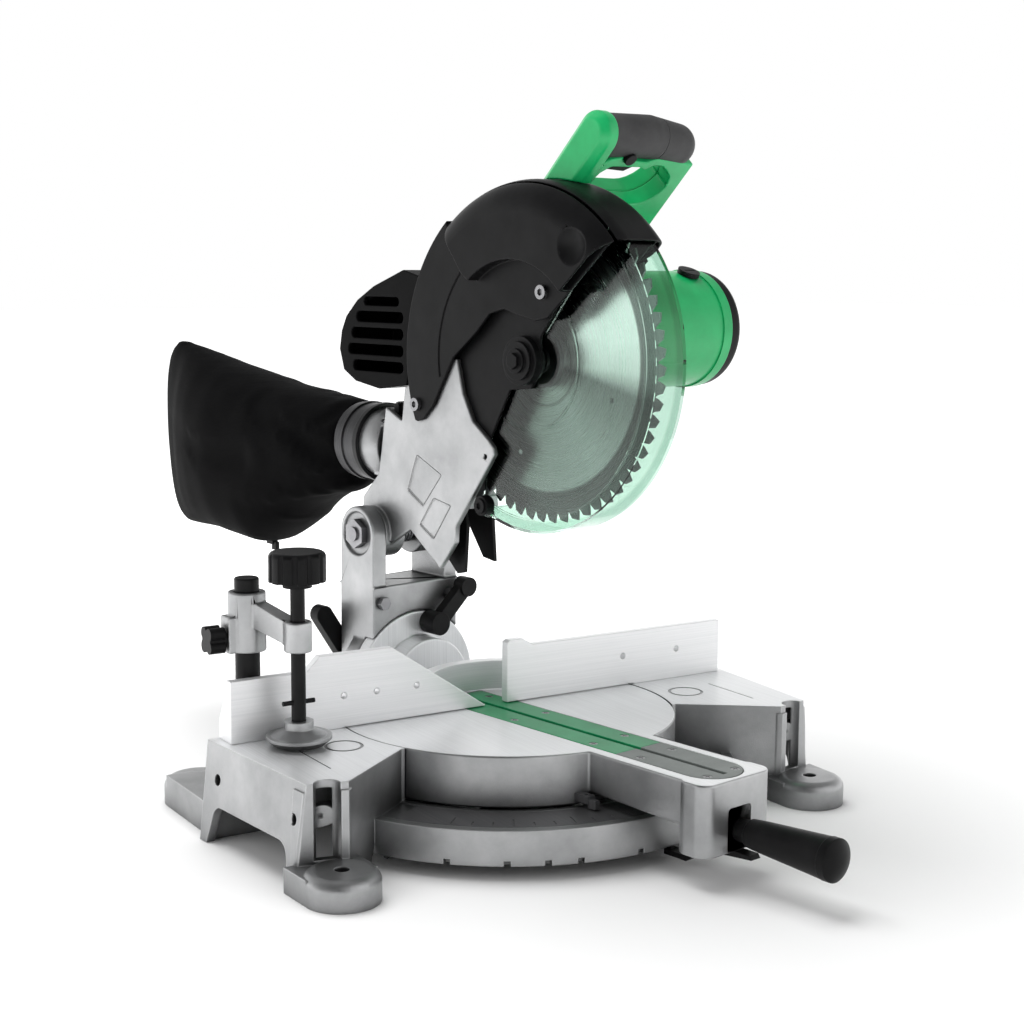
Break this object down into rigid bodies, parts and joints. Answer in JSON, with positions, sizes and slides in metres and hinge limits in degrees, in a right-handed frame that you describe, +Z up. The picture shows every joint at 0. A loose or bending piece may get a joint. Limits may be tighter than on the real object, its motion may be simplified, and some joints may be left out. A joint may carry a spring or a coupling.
{
  "type": "mitre saw",
  "caption": "Bench compound mitre saw: turntable base with fence, tilting bracket, spring-up blade head with swinging clear guard, loop handle, side motor, dust bag and a post clamp.",
  "frame": {"origin": "mitre axis at the bench plane, which is also the centre of the four bench bolt holes", "axes": "+X along the fence to the right of someone in front, +Y to the back, +Z up"},
  "size_m": [0.5032, 0.8559, 0.5531],
  "materials": {
    "cast_aluminium": "satin cast",
    "machined_aluminium": "brushed",
    "black_plastic": "satin moulded",
    "green_plastic": "moulded",
    "insert_plastic": "moulded",
    "grey_plastic": "moulded",
    "clear_plastic": "clear moulded",
    "rubber_grip": "moulded",
    "bright_steel": "ground",
    "steel": "turned",
    "black_steel": "black",
    "scale_metal": "satin",
    "bag_cloth": "woven",
    "winding": "wound"
  },
  "bodies": {
    "base": {"base_casting": "cast_aluminium", "mitre_scale": "scale_metal", "pivot_bolt": "steel", "fence": "machined_aluminium", "fence_bolts": "steel", "clamp_post": "black_steel"},
    "table": {"turntable": "cast_aluminium", "kerf_insert": "insert_plastic", "kerf_insert_front": "grey_plastic", "kerf_screws": "steel", "mitre_pointer": "scale_metal", "bevel_bolt": "steel"},
    "mitre_lock": {"mitre_lock_rod": "black_steel", "mitre_lock_grip": "black_plastic"},
    "detent": {"detent_lever": "black_steel"},
    "bevel_pin": {"bevel_pin_lever": "black_steel"},
    "bevel_clamp": {"bevel_clamp_lever": "black_steel"},
    "bracket": {"tilt_bracket": "cast_aluminium", "pivot_shaft": "steel", "pivot_nut": "steel", "return_spring": "steel", "stop_screws": "steel"},
    "head": {"head_arm": "cast_aluminium", "gear_housing": "black_plastic", "motor_housing": "green_plastic", "motor_end_cap": "black_plastic", "brush_caps": "black_plastic", "stator": "black_steel", "spindle_bearings": "steel", "vent_housing": "black_plastic", "upper_guard": "black_plastic", "guard_screws": "steel", "centre_plate": "black_plastic", "arbor_cover": "black_plastic", "handle_front": "green_plastic", "handle_back": "green_plastic", "handle_grip": "rubber_grip", "dust_chute": "cast_aluminium", "chute_knob": "black_plastic", "dust_flaps": "black_plastic", "bag_collar": "black_plastic", "dust_bag": "bag_cloth", "zip_puller": "steel"},
    "cutter": {"blade": "bright_steel", "spindle": "steel", "inner_flange": "steel", "outer_flange": "steel", "arbor_bolt": "steel", "spindle_gear": "steel"},
    "rotor": {"armature": "winding", "motor_fan": "black_plastic"},
    "guard": {"lower_guard": "clear_plastic", "guard_bumper": "black_plastic"},
    "trigger_body": {"trigger": "black_plastic"},
    "lock": {"lock_button": "black_plastic"},
    "work_clamp": {"clamp_arm": "cast_aluminium"},
    "clamp_lock": {"clamp_lock_knob": "black_plastic"},
    "pad": {"clamp_pad": "cast_aluminium"},
    "screw": {"clamp_screw": "black_steel", "clamp_knob": "black_plastic"}
  },
  "joints": [
    {"name": "mitre", "type": "hinge", "parent": "base", "child": "table", "pos_m": [0, 0, 0], "axis": [0, 0, 1], "range_deg": [-54.5, 35.5]},
    {"name": "mitre_lock_turn", "type": "hinge", "parent": "table", "child": "mitre_lock", "pos_m": [0.04324, -0.25841, 0.04], "axis": [-0.165, 0.9863, 0], "range_deg": [-60, 60]},
    {"name": "detent_squeeze", "type": "hinge", "parent": "table", "child": "detent", "pos_m": [0.03895, -0.23276, 0.026], "axis": [-0.9863, -0.165, 0], "range_deg": [0, 4], "stiffness_Nm_per_rad": 1.5, "springref_deg": -8.59},
    {"name": "bevel_pin_turn", "type": "hinge", "parent": "table", "child": "bevel_pin", "pos_m": [-0.00533, 0.11064, 0.131], "axis": [-0.165, 0.9863, 0], "range_deg": [-40, 15]},
    {"name": "bevel_clamp_turn", "type": "hinge", "parent": "table", "child": "bevel_clamp", "pos_m": [-0.02839, 0.16964, 0.078], "axis": [-0.165, 0.9863, 0], "range_deg": [-25, 25]},
    {"name": "bevel", "type": "hinge", "parent": "table", "child": "bracket", "pos_m": [-0.02311, 0.13808, 0.078], "axis": [-0.165, 0.9863, 0], "range_deg": [-33, 0]},
    {"name": "chop", "type": "hinge", "parent": "bracket", "child": "head", "pos_m": [-0.02327, 0.13907, 0.211], "axis": [0.9863, 0.165, 0], "range_deg": [0, 46], "stiffness_Nm_per_rad": 18, "springref_deg": -57.3},
    {"name": "guard_swing", "type": "hinge", "parent": "head", "child": "guard", "pos_m": [0.00731, -0.04369, 0.3656], "axis": [0.9863, 0.165, 0], "range_deg": [-130, 0]},
    {"name": "blade_spin", "type": "hinge", "parent": "head", "child": "cutter", "pos_m": [0.00731, -0.04369, 0.3656], "axis": [0.9863, 0.165, 0], "continuous": true},
    {"name": "armature_spin", "type": "hinge", "parent": "head", "child": "rotor", "pos_m": [0.12158, 0.00055, 0.38566], "axis": [0.9863, 0.165, 0], "continuous": true},
    {"name": "trigger_pull", "type": "hinge", "parent": "head", "child": "trigger_body", "pos_m": [0.04732, -0.07372, 0.52652], "axis": [0.1167, -0.6974, -0.7071], "range_deg": [0, 8], "stiffness_Nm_per_rad": 0.4, "springref_deg": -5.73},
    {"name": "lock_press", "type": "slide", "parent": "head", "child": "lock", "axis": [-0.1167, 0.6974, 0.7071], "range_m": [0, 0.003], "stiffness_N_per_m": 300, "springref_m": -0.001},
    {"name": "clamp_swing", "type": "hinge", "parent": "base", "child": "work_clamp", "pos_m": [-0.212, 0.035, 0.165], "axis": [0, 0, 1], "range_deg": [-20, 3]},
    {"name": "clamp_lock_turn", "type": "hinge", "parent": "work_clamp", "child": "clamp_lock", "pos_m": [-0.23, 0.035, 0.156], "axis": [1, 0, 0], "range_deg": [0, 180]},
    {"name": "pad_lift", "type": "slide", "parent": "work_clamp", "child": "pad", "axis": [0, 0, 1], "range_m": [0, 0.01]},
    {"name": "clamp_screw_turn", "type": "hinge", "parent": "pad", "child": "screw", "pos_m": [-0.192, -0.013, 0.15], "axis": [0, 0, 1], "range_deg": [0, 721]}
  ],
  "couplings": [
    {"joint": "guard_swing", "follows": "chop", "ratio": -2.826},
    {"joint": "armature_spin", "follows": "blade_spin", "ratio": -3.25},
    {"joint": "clamp_screw_turn", "follows": "pad_lift", "rad_per_m": 1256.6}
  ]
}
